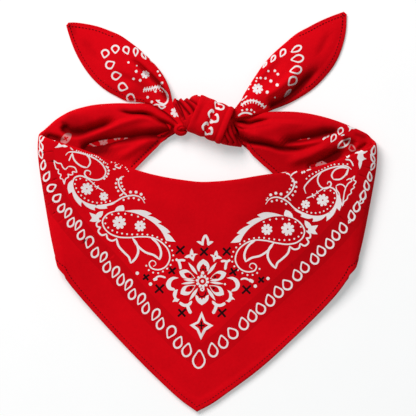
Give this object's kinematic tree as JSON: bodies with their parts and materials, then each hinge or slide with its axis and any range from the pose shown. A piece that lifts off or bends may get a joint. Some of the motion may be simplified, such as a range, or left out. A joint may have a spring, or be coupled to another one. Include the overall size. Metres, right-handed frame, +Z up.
{
  "type": "bandana",
  "caption": "Square cotton bandana folded corner to corner, knotted in a loop and laid flat, with a printed front and two free tails.",
  "frame": {"origin": "on the surface that the bandana lies on, in the middle of its outline seen from above", "axes": "+Z up from the surface; +Y from the front panel's corner towards the knot and tails; +X to the wearer's left, the right of the picture"},
  "size_m": [0.2445, 0.2878, 0.023],
  "materials": {
    "printed_cotton": "matt plain-weave cotton, printed white and black on red"
  },
  "bodies": {
    "root": {"front_panel": "printed_cotton", "left_band": "printed_cotton", "right_band": "printed_cotton", "left_tail": "printed_cotton", "right_tail": "printed_cotton", "knot_wrap": "printed_cotton", "knot_left": "printed_cotton", "knot_right": "printed_cotton", "knot_tuck": "printed_cotton"}
  },
  "joints": []
}
